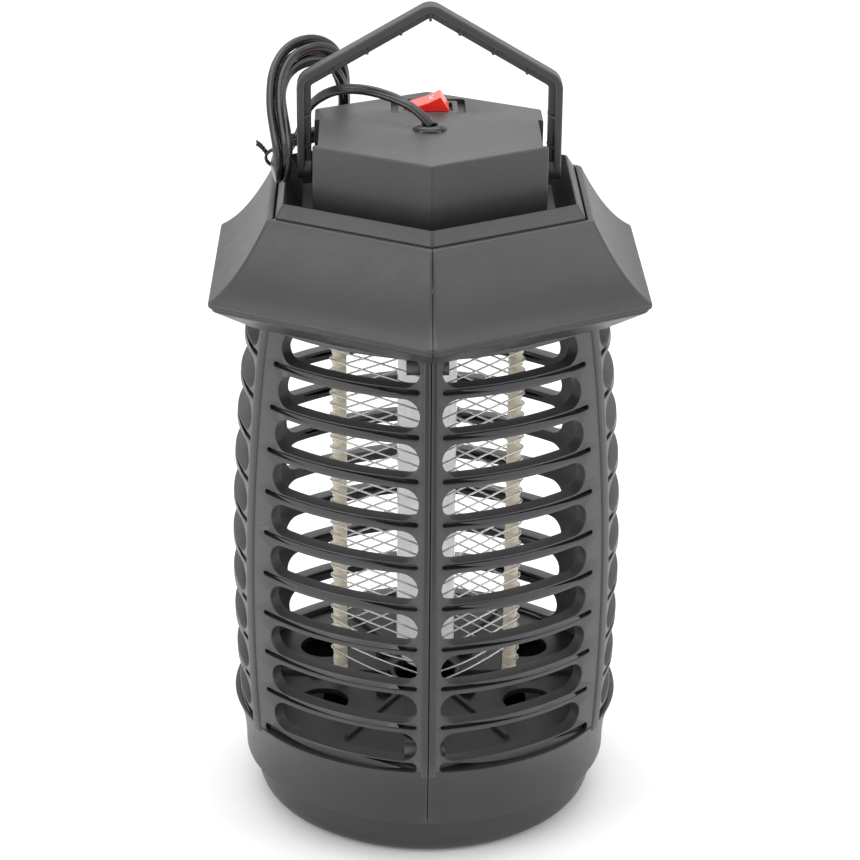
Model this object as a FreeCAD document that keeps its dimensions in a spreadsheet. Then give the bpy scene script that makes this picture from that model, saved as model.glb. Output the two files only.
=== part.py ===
import FreeCAD, Part
import Sketcher
import math
import os

# Electric bug zapper: a hexagonal lantern. Millimetres, +Z up, origin at the centre of the
# catch tray's underside. One corner of the hexagon points to the front, along -Y, and the
# housing is a clamshell whose halves meet on the plane x = 0.

SIZES = [
    # terminal box and collar of the top cap
    ("box_radius", 69.0), ("box_top", 379.4), ("box_wall", 5.2),
    ("collar_foot", 333.5), ("trough_floor", 336.0), ("trough_radius", 76.8),
    ("crest_radius", 86.3), ("crest_level", 351.5), ("crest_land", 0.8),
    ("rim_radius", 90.8), ("rim_foot", 345.5),
    ("pocket_length", 39.4), ("pocket_width", 27.2), ("pocket_middle", 40.0),
    ("pocket_depth", 2.6), ("recess_depth", 2.8), ("recess_back", 13.4), ("recess_front", -33.3),
    ("recess_floor", 346.0), ("cord_hole", 5.0), ("grommet_middle", -3.4),
    ("pillar_radius", 4.0), ("pillar_side", 38.0), ("pillar_front", 30.0),
    # canopy
    ("lip_radius", 95.4), ("lip_level", 344.6), ("eave_radius", 130.0),
    ("eave_level", 305.5), ("eave_edge", 2.3), ("canopy_sag", 5.3),
    ("canopy_skin", 2.6), ("canopy_gap", 1.0),
    # cage
    ("soffit_radius", 107.7), ("soffit_level", 289.6), ("soffit_rise", 12.2),
    ("soffit_reach", 129.0), ("soffit_skin", 2.4),
    ("post_radius", 109.6), ("post_width", 7.6), ("post_depth", 8.5),
    ("barrel_radius", 1082.0), ("barrel_middle", 133.7), ("bar_setback", 2.0),
    ("bar_depth", 7.0), ("band_level", 58.0), ("band_foot_radius", 100.3),
    ("band_foot", 24.0), ("band_wall", 4.0), ("band_round", 90.0),
    ("slot_pitch", 23.18), ("slot_height", 17.0), ("slot_length", 83.0),
    ("slot_shift", 5.0), ("side_slot_length", 92.0), ("slot_low", 64.8),
    ("seam_gap", 0.3), ("ledge_radius", 91.0), ("ledge_low", 56.0), ("ledge_high", 59.0),
    # catch tray and its bayonet
    ("tray_foot_radius", 87.0), ("tray_radius", 94.4), ("tray_belly", 94.0),
    ("tray_belly_level", 9.0), ("tray_shoulder", 23.3), ("neck_radius", 88.0),
    ("neck_top", 42.0), ("tray_wall", 2.5), ("lug_reach", 91.6), ("lug_low", 36.0),
    ("lug_high", 39.0), ("keeper_reach", 89.0), ("keeper_low", 31.5), ("keeper_high", 35.2),
    # chamber
    ("deck_low", 292.2), ("deck_high", 295.2), ("deck_radius", 101.0),
    ("plate_low", 59.0), ("plate_high", 62.0), ("plate_radius", 96.0),
    ("funnel_mouth", 95.5), ("funnel_throat", 57.0), ("funnel_top", 55.8),
    ("funnel_drop", 9.0), ("insulator_ring", 47.3), ("insulator_radius", 4.0),
    ("wire_radius", 0.55), ("wire_low", 72.0), ("wire_pitch", 12.8),
    ("lamp_half_gap", 8.6), ("lamp_radius", 7.4), ("lamp_bend", 81.5),
    ("lamp_top", 262.0), ("lamp_base_top", 282.0),
    # handle
    ("pivot_level", 357.5), ("pin_radius", 2.9), ("pin_clearance", 0.05),
    ("handle_half", 68.3), ("handle_bar", 7.3), ("flange_bar", 4.0),
    ("handle_depth", 11.0), ("web_depth", 4.6), ("shoulder_level", 406.2),
    ("apex_level", 444.5),
    # rocker switch
    ("rocker_length", 24.0), ("rocker_width", 15.6), ("rocker_middle", 40.0),
    ("rocker_drop", 3.0), ("rocker_pin", 1.5), ("bezel_lip", 4.0), ("bezel_height", 2.2),
    ("case_wall", 2.0), ("case_depth", 16.0), ("cavity_gap", 0.9), ("cavity_side", 0.4),
    # circuit board and cord clamp
    ("board_lift", 4.0), ("board_half", 33.0), ("board_front", 18.0), ("board_back", 54.0),
    ("board_skin", 1.6), ("foot_side", 30.0), ("foot_front", 21.0), ("foot_back", 51.0),
    ("clamp_half", 9.0), ("clamp_front", -17.0), ("clamp_back", -8.8),
    # seam bosses and housing screw
    ("seam_boss_right", 9.0), ("seam_boss_left", 12.4), ("seam_boss_radius", 4.2),
    ("low_boss_ring", 97.0), ("low_boss_level", 68.0), ("high_boss_ring", 89.3),
    ("high_boss_level", 281.3), ("boss_ring", 96.0),
    ("boss_level", 170.0), ("boss_reach", 8.0), ("boss_radius", 4.0),
    # cord, tie and plug
    ("cord_width", 5.6), ("hank_radius", 5.2), ("tie_thickness", 1.1),
    ("plug_length", 30.0), ("plug_width", 22.0), ("plug_height", 15.6),
    ("blade_length", 18.0), ("blade_thickness", 1.6), ("blade_width", 6.3), ("blade_gap", 6.35),
]

doc = FreeCAD.newDocument("bug_zapper")
sheet = doc.addObject("Spreadsheet::Sheet", "sizes")
for row, (alias, value) in enumerate(SIZES, 1):
    sheet.set("A%d" % row, alias)
    sheet.set("B%d" % row, str(value))
    sheet.setAlias("B%d" % row, alias)
doc.recompute()

ALIASES = {alias for alias, _ in SIZES}
TRIAL_CELL = "D1"


def cells(text):
    """An expression with every alias written as a cell of the sheet."""
    words = str(text).replace("(", " ( ").replace(")", " ) ").split()
    return " ".join("sizes." + word if word in ALIASES else word for word in words)


def value(text):
    """The number that such an expression gives, worked out in a spare cell of the sheet."""
    sheet.set(TRIAL_CELL, "=" + str(text))
    sheet.recompute()
    return float(sheet.get(TRIAL_CELL))


def bind(thing, **texts):
    for name, text in texts.items():
        thing.setExpression(name.replace("__", "."), cells(text))


def put(thing, x="0", y="0", z="0", turn=None, about=(0, 0, 1)):
    """Places an object at bound coordinates, turned by an angle about an axis."""
    if turn is not None:
        spin = FreeCAD.Rotation(FreeCAD.Vector(*about), turn)
        thing.Placement = FreeCAD.Placement(FreeCAD.Vector(), spin)
    bind(thing, Placement__Base__x=x, Placement__Base__y=y, Placement__Base__z=z)
    return thing


def block(name, x, y, z):
    """A box between bound low and high values on each axis."""
    box = doc.addObject("Part::Box", name)
    bind(box, Length="( %s ) - ( %s )" % (x[1], x[0]), Width="( %s ) - ( %s )" % (y[1], y[0]),
         Height="( %s ) - ( %s )" % (z[1], z[0]))
    return put(box, x[0], y[0], z[0])


def rod(name, radius, low, high, x="0", y="0"):
    """An upright cylinder."""
    item = doc.addObject("Part::Cylinder", name)
    bind(item, Radius=radius, Height="( %s ) - ( %s )" % (high, low))
    return put(item, x, y, low)


def cross_rod(name, radius, x, y, z):
    """A cylinder along X between two bound x values."""
    item = doc.addObject("Part::Cylinder", name)
    bind(item, Radius=radius, Height="( %s ) - ( %s )" % (x[1], x[0]))
    return put(item, x[0], y, z, turn=90, about=(0, 1, 0))


def hexagon(name, radius, low, high):
    """A hexagonal prism with corners to the front and back."""
    item = doc.addObject("Part::Prism", name)
    item.Polygon = 6
    bind(item, Circumradius=radius, Height="( %s ) - ( %s )" % (high, low))
    return put(item, z=low, turn=30)


def flared(name, sections):
    """A solid lofted through hexagons, given as pairs of radius and level."""
    rings = []
    for number, (radius, level) in enumerate(sections):
        ring = doc.addObject("Part::RegularPolygon", "%s_ring_%d" % (name, number))
        ring.Polygon = 6
        bind(ring, Circumradius=radius)
        rings.append(put(ring, z=level, turn=30))
    loft = doc.addObject("Part::Loft", name)
    loft.Sections = rings
    loft.Solid = True
    loft.Ruled = True
    return loft


def cut(name, base, *tools):
    tool = tools[0] if len(tools) == 1 else fuse(name + "_tools", *tools)
    item = doc.addObject("Part::Cut", name)
    item.Base = base
    item.Tool = tool
    return item


def fuse(name, *shapes):
    item = doc.addObject("Part::MultiFuse", name)
    item.Shapes = list(shapes)
    return item


def common(name, first, second):
    item = doc.addObject("Part::Common", name)
    item.Base = first
    item.Tool = second
    return item


def group(name, *shapes):
    item = doc.addObject("Part::Compound", name)
    item.Links = list(shapes)
    return item


def outline(sketch, points, arcs=()):
    """Draws a closed outline through bound points; arcs maps an edge to its radius and side."""
    arcs = dict(arcs)
    spots = [FreeCAD.Vector(value(x), value(y), 0) for x, y in points]
    ends = []
    for edge, start in enumerate(spots):
        stop = spots[(edge + 1) % len(spots)]
        if edge in arcs:
            radius, side = value(arcs[edge][0]), arcs[edge][1]
            middle, along = (start + stop) / 2, stop - start
            rise = radius - math.sqrt(radius ** 2 - along.Length ** 2 / 4)
            normal = FreeCAD.Vector(along.y, -along.x, 0).normalize()
            bulge = middle + normal * rise * side
            if side > 0:
                number = sketch.addGeometry(Part.Arc(start, bulge, stop), False)
                ends.append((number, 1, 2))
            else:
                number = sketch.addGeometry(Part.Arc(stop, bulge, start), False)
                ends.append((number, 2, 1))
        else:
            number = sketch.addGeometry(Part.LineSegment(start, stop), False)
            ends.append((number, 1, 2))
    for edge, (number, first, last) in enumerate(ends):
        following, start_of_next, _ = ends[(edge + 1) % len(ends)]
        sketch.addConstraint(Sketcher.Constraint("Coincident", number, last, following, start_of_next))
    for edge, (number, first, last) in enumerate(ends):
        for kind, text in (("DistanceX", points[edge][0]), ("DistanceY", points[edge][1])):
            mark = sketch.addConstraint(Sketcher.Constraint(kind, -1, 1, number, first, value(text)))
            sketch.setExpression("Constraints[%d]" % mark, cells(text))
        if edge in arcs:
            mark = sketch.addConstraint(Sketcher.Constraint("Radius", number, value(arcs[edge][0])))
            sketch.setExpression("Constraints[%d]" % mark, cells(arcs[edge][0]))


def plane(body, role):
    return next(item for item in body.Origin.OriginFeatures if item.Role == role)


def sketched(body, name, role, points, arcs=()):
    sketch = body.newObject("Sketcher::SketchObject", name)
    sketch.AttachmentSupport = (plane(body, role), [""])
    sketch.MapMode = "FlatFace"
    outline(sketch, points, arcs)
    return sketch


def turned(name, points, arcs=()):
    """A body of revolution about Z, from an outline of radius and level."""
    body = doc.addObject("PartDesign::Body", name)
    sketch = sketched(body, name + "_profile", "XZ_Plane", points, arcs)
    spin = body.newObject("PartDesign::Revolution", name + "_spin")
    spin.Profile = sketch
    spin.ReferenceAxis = (sketch, ["V_Axis"])
    spin.Angle = 360
    body.Tip = spin
    return body


def stadium_column(name, turn, middle, length):
    """Ten stacked stadium prisms that point outward from the axis, one for each slot."""
    body = doc.addObject("PartDesign::Body", name)
    low, high = "slot_low", "slot_low + slot_height"
    near = "%s - ( %s ) / 2 + slot_height / 2" % (middle, length)
    far = "%s + ( %s ) / 2 - slot_height / 2" % (middle, length)
    ends = ("slot_height / 2 + 0.02", 1)
    sketch = sketched(body, name + "_profile", "YZ_Plane",
                      [(near, low), (far, low), (far, high), (near, high)], {1: ends, 3: ends})
    pad = body.newObject("PartDesign::Pad", name + "_pad")
    pad.Profile = sketch
    bind(pad, Length="eave_radius")
    rows = body.newObject("PartDesign::LinearPattern", name + "_rows")
    rows.Originals = [pad]
    rows.Direction = (sketch, ["V_Axis"])
    rows.Occurrences = 10
    bind(rows, Length="slot_pitch * 9")
    body.Tip = rows
    body.Placement = FreeCAD.Placement(FreeCAD.Vector(), FreeCAD.Rotation(turn, 0, 0))
    return body


def half_space(name, side):
    """Everything on one side of the parting plane."""
    reach = "eave_radius * 2"
    gap = "seam_gap / 2"
    x = (gap, reach) if side > 0 else ("0 - eave_radius * 2", "0 - seam_gap / 2")
    return block(name, x, ("0 - eave_radius * 2", reach), ("-10", "box_top * 2"))


SIDES = (("left", -1), ("right", 1))


# ---- top cap: terminal box, collar, switch pocket, pivot bores and screw pillars
def top_cap():
    plinth = hexagon("cap_plinth", "rim_radius", "collar_foot", "rim_foot")
    slope = flared("cap_slope", [("rim_radius", "rim_foot"), ("crest_radius", "crest_level")])
    trough = flared("cap_trough", [("trough_radius", "trough_floor"),
                                   ("crest_radius - crest_land", "crest_level + 0.01")])
    collar = cut("cap_collar", fuse("cap_collar_blank", plinth, slope), trough)
    box = hexagon("cap_box", "box_radius", "collar_foot", "box_top")
    hollow = hexagon("cap_hollow", "box_radius - box_wall / 0.866", "collar_foot - 1", "box_top - 2.6")
    shell = cut("cap_shell", fuse("cap_blank", collar, box), hollow)
    well = block("cap_well", ("0 - pocket_length / 2 - 2", "pocket_length / 2 + 2"),
                 ("pocket_middle - pocket_width / 2 - 2", "pocket_middle + pocket_width / 2 + 2"),
                 ("box_top - pocket_depth - 2", "box_top - 1"))
    well_inside = common("cap_well_inside", well, hexagon("cap_envelope", "box_radius - 0.5",
                                                          "collar_foot", "box_top - 0.5"))
    adds = [shell, well_inside]
    bores = []
    for number, (x, y) in enumerate([(1, -1), (1, 1), (-1, -1), (-1, 1)]):
        spot = ("pillar_side * %d" % x, "pillar_front * %d" % y)
        adds.append(rod("cap_pillar_%d" % number, "pillar_radius", "deck_high", "box_top - 2", *spot))
        bores.append(rod("cap_pillar_bore_%d" % number, "1.6", "deck_high - 1", "deck_high + 14", *spot))
    pocket = block("cap_pocket", ("0 - pocket_length / 2", "pocket_length / 2"),
                   ("pocket_middle - pocket_width / 2", "pocket_middle + pocket_width / 2"),
                   ("box_top - pocket_depth", "box_top + 1"))
    window = block("cap_window", ("0 - rocker_length / 2 - 2.2", "rocker_length / 2 + 2.2"),
                   ("rocker_middle - rocker_width / 2 - 2.2", "rocker_middle + rocker_width / 2 + 2.2"),
                   ("box_top - pocket_depth - 5", "box_top"))
    outlet = rod("cap_outlet", "cord_hole", "box_top - 8", "box_top + 1", y="grommet_middle")
    bores += [pocket, window, outlet]
    for name, side in SIDES:
        edge = "box_radius * 0.866"
        low, high = edge + " - recess_depth", edge + " + 2"
        x = (low, high) if side > 0 else ("0 - ( %s )" % high, "0 - ( %s )" % low)
        bores.append(block("cap_recess_" + name, x, ("recess_front", "recess_back"),
                           ("recess_floor", "box_top + 1")))
        far = "handle_half"
        x = ("box_radius * 0.7", far) if side > 0 else ("0 - " + far, "0 - box_radius * 0.7")
        bores.append(cross_rod("cap_bore_" + name, "pin_radius + pin_clearance", x, "0", "pivot_level"))
    return cut("top_cap", fuse("cap_solid", *adds), *bores)


# ---- canopy: flared roof in two halves
def canopy():
    def skin(inset, drop):
        sections = []
        for t in (0, 0.25, 0.5, 0.75, 1):
            radius = "lip_radius + ( eave_radius - lip_radius ) * %s - %s" % (t, inset)
            level = "lip_level - ( lip_level - eave_level ) * %s - canopy_sag * %s - %s" % (
                t, 4 * t * (1 - t), drop)
            sections.append((radius, level))
        return sections

    outer = skin("0", "0") + [("eave_radius", "eave_level - eave_edge")]
    inner = [("lip_radius - canopy_skin", "lip_level - canopy_skin")]
    inner += skin("canopy_skin", "1.4")[1:]
    inner.append(("eave_radius - canopy_skin", "eave_level - eave_edge - 1"))
    shell = cut("canopy_shell", flared("canopy_outer", outer), flared("canopy_inner", inner),
                hexagon("canopy_mouth", "rim_radius + canopy_gap", "lip_level - 10", "lip_level + 5"))
    return [common("canopy_" + name, shell, half_space("canopy_space_" + name, side))
            for name, side in SIDES]


# ---- cage: barrel grille, corner posts, soffit and band, in two halves
def barrel(name, inset, low, depth):
    """A ring that follows the barrel curve, set in from the posts' faces."""
    def radius(level, more):
        away = "( %s - barrel_middle )" % level
        return "post_radius - %s - %s - %s * %s / ( barrel_radius * 2 )" % (
            inset, more, away, away)

    top = "soffit_level + 0.5"
    points = [(radius(top, "0"), top), (radius(top, depth), top), (radius(low, depth), low),
              (radius(low, "0"), low)]
    return turned(name, points, {1: ("barrel_radius - %s" % depth, -1), 3: ("barrel_radius", 1)})


def cage():
    bars = barrel("cage_bars", "bar_setback", "band_level", "bar_depth")
    columns = []
    for turn in range(6):
        angle = 60 * turn
        if turn in (0, 3):
            middle, length = "0", "side_slot_length"
        else:
            toward_seam = 1 if turn in (1, 4) else -1
            middle, length = "slot_shift * %d" % toward_seam, "slot_length"
        columns.append(stadium_column("cage_slots_%d" % turn, angle, middle, length))
    grille = cut("cage_grille", bars, *columns)
    ring = barrel("cage_post_ring", "0", "band_level - 1", "post_depth")
    wedges = []
    for turn in range(3):
        strip = doc.addObject("Part::Box", "cage_post_strip_%d" % turn)
        bind(strip, Length="eave_radius * 2", Width="post_width", Height="soffit_level")
        angle = 30 + 60 * turn
        along = (math.cos(math.radians(angle)), math.sin(math.radians(angle)))
        strip.Placement = FreeCAD.Placement(FreeCAD.Vector(), FreeCAD.Rotation(angle, 0, 0))
        bind(strip, Placement__Base__z="10",
             Placement__Base__x="eave_radius * %.6f + post_width * %.6f" % (-along[0], along[1] / 2),
             Placement__Base__y="eave_radius * %.6f - post_width * %.6f" % (-along[1], along[0] / 2))
        wedges.append(strip)
    posts = common("cage_posts", ring, fuse("cage_post_wedges", *wedges))
    fall = "( band_level - barrel_middle ) * ( band_level - barrel_middle ) / ( barrel_radius * 2 )"
    band_top = "post_radius - bar_setback / 3 - " + fall
    band = turned("cage_band", [(band_top, "band_level + 1"), (band_top + " - bar_depth", "band_level + 1"),
                                ("band_foot_radius - band_wall", "band_foot + 10"),
                                ("band_foot_radius - band_wall", "band_foot"),
                                ("band_foot_radius", "band_foot")], {4: ("band_round", 1)})
    ledge = turned("cage_ledge", [("ledge_radius", "ledge_low"), ("band_foot_radius + 2", "ledge_low"),
                                  ("band_foot_radius + 2", "ledge_high"), ("ledge_radius", "ledge_high")])
    keeper_ring = turned("cage_keeper_ring", [("keeper_reach", "keeper_low"),
                                              ("band_foot_radius - 1", "keeper_low"),
                                              ("band_foot_radius - 1", "keeper_high"),
                                              ("keeper_reach", "keeper_high")])
    keepers = common("cage_keepers", keeper_ring, fan("cage_keeper_fan", 24, "band_foot_radius"))
    soffit_outer = flared("soffit_outer", [("soffit_radius", "soffit_level"),
                                           ("soffit_reach", "soffit_level + soffit_rise")])
    soffit_inner = flared("soffit_inner", [("soffit_radius", "soffit_level + soffit_skin"),
                                           ("soffit_reach", "soffit_level + soffit_rise + soffit_skin")])
    well = rod("soffit_well", "soffit_radius * 0.835", "soffit_level - 1", "soffit_level + 20")
    soffit = cut("cage_soffit", soffit_outer, soffit_inner, well)
    whole = fuse("cage_whole", grille, posts, band, ledge, keepers, soffit)
    halves = []
    for name, side in SIDES:
        half = common("cage_half_" + name, whole, half_space("cage_space_" + name, side))
        x = ("seam_gap / 2", "seam_boss_right") if side > 0 else ("0 - seam_boss_left", "0 - seam_gap / 2")
        bosses = [cross_rod("cage_%s_boss_%s" % (end, name), "seam_boss_radius", x,
                            "0 - %s_boss_ring" % end, end + "_boss_level") for end in ("low", "high")]
        x = ("seam_gap / 2", "boss_reach") if side > 0 else ("0 - boss_reach", "0 - seam_gap / 2")
        boss = cross_rod("cage_boss_" + name, "boss_radius", x, "boss_ring", "boss_level")
        hole = cross_rod("cage_boss_hole_" + name, "1.7", ("-20", "20"), "boss_ring", "boss_level")
        halves.append(cut("cage_" + name, fuse("cage_blank_" + name, half, boss, *bosses), hole))
    return halves


def fan(name, spread, radius):
    """Three wedges of a given spread about the axis."""
    wedges = []
    for number in range(3):
        wedge = doc.addObject("Part::Cylinder", "%s_%d" % (name, number))
        wedge.Angle = spread
        bind(wedge, Radius=radius, Height="neck_top + 10")
        wedge.Placement = FreeCAD.Placement(FreeCAD.Vector(),
                                            FreeCAD.Rotation(30 + 120 * number - spread / 2, 0, 0))
        wedges.append(wedge)
    return fuse(name, *wedges)


# ---- catch tray
def catch_tray():
    cup = turned("tray_cup", [("0", "0"), ("tray_foot_radius", "0"), ("tray_belly", "tray_belly_level"),
                              ("tray_radius", "tray_shoulder"), ("neck_radius", "tray_shoulder"),
                              ("neck_radius", "neck_top"), ("neck_radius - tray_wall", "neck_top"),
                              ("neck_radius - tray_wall", "tray_belly_level"),
                              ("tray_foot_radius - tray_wall - 4", "tray_wall"), ("0", "tray_wall")],
                 {1: ("14", 1)})
    ring = turned("tray_lug_ring", [("neck_radius - 1", "lug_low"), ("lug_reach", "lug_low"),
                                    ("lug_reach", "lug_high"), ("neck_radius - 1", "lug_high")])
    lugs = common("tray_lugs", ring, fan("tray_fan", 20, "tray_radius"))
    return fuse("catch_tray", cup, lugs)


# ---- chamber: deck, floor plate, funnel, insulators, grids and lamp
def chamber():
    deck_blank = hexagon("deck_blank", "deck_radius", "deck_low", "deck_high")
    lamp_hole = rod("deck_lamp_hole", "21", "deck_low - 1", "deck_high + 1")
    holes = [rod("deck_hole_%d" % k, "1.9", "deck_low - 1", "deck_high + 1",
                 "pillar_side * %d" % x, "pillar_front * %d" % y)
             for k, (x, y) in enumerate([(1, -1), (1, 1), (-1, -1), (-1, 1)])]
    deck = cut("electronics_deck", deck_blank, lamp_hole, *holes)
    disc = rod("plate_disc", "plate_radius", "plate_low", "plate_high")
    windows = []
    for k in range(6):
        angle = math.radians(60 * k + 30)
        windows.append(rod("plate_window_%d" % k, "14", "plate_low - 1", "plate_high + 1",
                           "%.4f * plate_radius * 0.68" % math.cos(angle),
                           "%.4f * plate_radius * 0.68" % math.sin(angle)))
    windows.append(rod("plate_eye", "17", "plate_low - 1", "plate_high + 1"))
    plate = cut("floor_plate", disc, *windows)
    funnel = turned("funnel", [("funnel_mouth", "funnel_top"), ("funnel_mouth", "funnel_top - 2"),
                               ("funnel_throat", "funnel_top - funnel_drop - 2"),
                               ("funnel_throat", "funnel_top - funnel_drop")])
    parts = [deck, plate, funnel]
    for name, x, y in (("front", 0, -1), ("right", 1, 0), ("back", 0, 1), ("left", -1, 0)):
        parts.append(rod("insulator_" + name, "insulator_radius", "plate_high", "deck_low",
                         "insulator_ring * %d" % x, "insulator_ring * %d" % y))
    for name, lift in (("live", 0), ("return", 0.5)):
        parts.append(grid("grid_" + name, lift))
    return parts + lamp()


def grid(name, lift):
    """One winding: square turns of wire stretched round the outside of the four insulators."""
    ring, post = value("insulator_ring"), value("insulator_radius + wire_radius")
    pitch, low, top = value("wire_pitch"), value("wire_low"), value("deck_low") - 5
    circle = Part.Circle(FreeCAD.Vector(), FreeCAD.Vector(0, 0, 1), value("wire_radius"))
    turns = []
    level = low + pitch * lift
    while level < top:
        edges = []
        for k in range(4):
            angle = math.radians(90 * k)
            centre = FreeCAD.Vector(ring * math.cos(angle), ring * math.sin(angle), level)
            spots = [centre + FreeCAD.Vector(post * math.cos(angle + s), post * math.sin(angle + s), 0)
                     for s in (-math.pi / 4, 0, math.pi / 4)]
            edges.append(Part.Arc(*spots).toShape())
            angle += math.pi / 2
            following = FreeCAD.Vector(ring * math.cos(angle), ring * math.sin(angle), level)
            angle -= math.pi / 4
            edges.append(Part.LineSegment(spots[2], following + FreeCAD.Vector(
                post * math.cos(angle), post * math.sin(angle), 0)).toShape())
        path = Part.Wire(edges)
        start = edges[0].Vertexes[0].Point
        tangent = edges[0].tangentAt(edges[0].FirstParameter)
        section = Part.Wire([Part.Circle(start, tangent, value("wire_radius")).toShape()])
        turns.append(path.makePipeShell([section], True, True))
        level += pitch
    item = doc.addObject("Part::Feature", name)
    item.Shape = Part.makeCompound(turns)
    return item


def lamp():
    limbs = [rod("lamp_limb_" + name, "lamp_radius", "lamp_bend", "lamp_top", "lamp_half_gap * %d" % side)
             for name, side in SIDES]
    bend = doc.addObject("Part::Torus", "lamp_bend_ring")
    bend.Angle3 = 180
    bind(bend, Radius1="lamp_half_gap", Radius2="lamp_radius")
    put(bend, z="lamp_bend", turn=-90, about=(1, 0, 0))
    tube = fuse("lamp_tube", *limbs, bend)
    base = block("lamp_base", ("-17.5", "17.5"), ("-12", "12"), ("lamp_top", "lamp_base_top"))
    socket = block("lamp_holder", ("-19", "19"), ("-14", "14"), ("lamp_base_top", "deck_high + 12"))
    return [tube, base, trim_to(socket)]


def trim_to(item):
    """The lamp holder's lower part is round where it passes the deck."""
    return common("lamp_socket", item, rod("lamp_socket_round", "20.6", "lamp_base_top", "deck_high + 12"))


# ---- electronics on the deck, inside the roof
def electronics():
    board_low = "deck_high + board_lift"
    board_top = board_low + " + board_skin"
    board = block("circuit_board", ("0 - board_half", "board_half"), ("board_front", "board_back"),
                  (board_low, board_top))
    ballast = block("lamp_ballast", ("-31", "-9"), ("22", "50"), (board_top, "deck_high + 22"))
    stepper = block("multiplier_block", ("-5", "12"), ("24", "44"), (board_top, "deck_high + 19"))
    cans = [rod("capacitor_%d" % k, "3.3", board_top, "deck_high + 21", x, y)
            for k, (x, y) in enumerate([("19", "28"), ("27", "28"), ("19", "38"), ("27", "38")])]
    feet = [rod("board_foot_%d" % k, "2.5", "deck_high", board_low, "foot_side * %d" % x, y)
            for k, (x, y) in enumerate([(-1, "foot_front"), (1, "foot_front"),
                                        (-1, "foot_back"), (1, "foot_back")])]
    clamp = block("cord_clamp", ("0 - clamp_half", "clamp_half"), ("clamp_front", "clamp_back"),
                  ("box_top - 12", "box_top - 2.6"))
    return [board, ballast, stepper, group("capacitors", *cans), group("board_feet", *feet), clamp]


def screws():
    """Four screws up through the deck into the cap's pillars, and one across the back bosses."""
    items = []
    for k, (x, y) in enumerate([(1, -1), (1, 1), (-1, -1), (-1, 1)]):
        spot = ("pillar_side * %d" % x, "pillar_front * %d" % y)
        shank = rod("deck_screw_shank_%d" % k, "1.55", "deck_low", "deck_high + 12", *spot)
        head = rod("deck_screw_head_%d" % k, "3.2", "deck_low - 2.2", "deck_low", *spot)
        items.append(fuse("deck_screw_%d" % k, shank, head))
    shank = cross_rod("housing_screw_shank", "1.6", ("0 - boss_reach", "boss_reach"), "boss_ring",
                      "boss_level")
    head = cross_rod("housing_screw_head", "3.2", ("boss_reach", "boss_reach + 2.2"), "boss_ring",
                     "boss_level")
    return [group("deck_screws", *items), fuse("housing_screw", shank, head)]


# ---- switch, grommet
def switch():
    floor = "box_top - pocket_depth"
    pivot = floor + " - rocker_drop"

    def around(name, end, side, low, high):
        """A block round the rocker's middle, wider than the rocker by end and side."""
        x, y = "rocker_length / 2 + " + end, "rocker_width / 2 + " + side
        return block(name, ("0 - ( %s )" % x, x),
                     ("rocker_middle - ( %s )" % y, "rocker_middle + " + y), (low, high))

    def pin(name, radius, reach):
        """A round bar along the rocker's own axis, which is parallel to Y."""
        bar = doc.addObject("Part::Cylinder", name)
        bind(bar, Radius=radius, Height="rocker_width + ( %s ) * 2" % reach)
        return put(bar, y="rocker_middle + rocker_width / 2 + " + reach, z=pivot, turn=90, about=(1, 0, 0))

    bezel = around("switch_bezel", "bezel_lip", "bezel_lip", floor, floor + " + bezel_height")
    case = around("switch_case", "case_wall", "case_wall", floor + " - case_depth", floor)
    cavity = around("switch_cavity", "cavity_gap", "cavity_side", floor + " - 10", floor + " + 4")
    body = cut("switch_body", fuse("switch_blank", bezel, case), cavity,
               pin("switch_pin_bore", "rocker_pin + pin_clearance", "1.3"))
    wheel = doc.addObject("PartDesign::Body", "rocker_wheel")
    sketched(wheel, "rocker_profile", "XZ_Plane",
             [("-11.4", floor + " - 1"), ("-6", floor + " - 6"), ("6", floor + " - 6"),
              ("11.1", floor + " - 1"), ("11.1", floor + " + 2.6"), ("6.8", floor + " + 9.4"),
              ("-10", floor + " + 3.4"), ("-11.4", floor + " + 2")], {5: ("46", -1)})
    pad = wheel.newObject("PartDesign::Pad", "rocker_pad")
    pad.Profile = doc.getObject("rocker_profile")
    pad.Reversed = True
    bind(pad, Length="rocker_width")
    wheel.Tip = pad
    put(wheel, y="rocker_middle - rocker_width / 2")
    return [body, fuse("rocker", wheel, pin("rocker_pin_bar", "rocker_pin", "1.1"))]


def grommet():
    dome = turned("cord_grommet", [("3.6", "box_top - 4"), ("cord_hole - 0.1", "box_top - 4"),
                                   ("cord_hole - 0.1", "box_top + 0.05"), ("8.8", "box_top + 0.05"),
                                   ("8.8", "box_top + 0.8"), ("5.4", "box_top + 3"), ("3.6", "box_top + 3")],
                  {4: ("7", 1)})
    return [put(dome, y="grommet_middle")]


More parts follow.
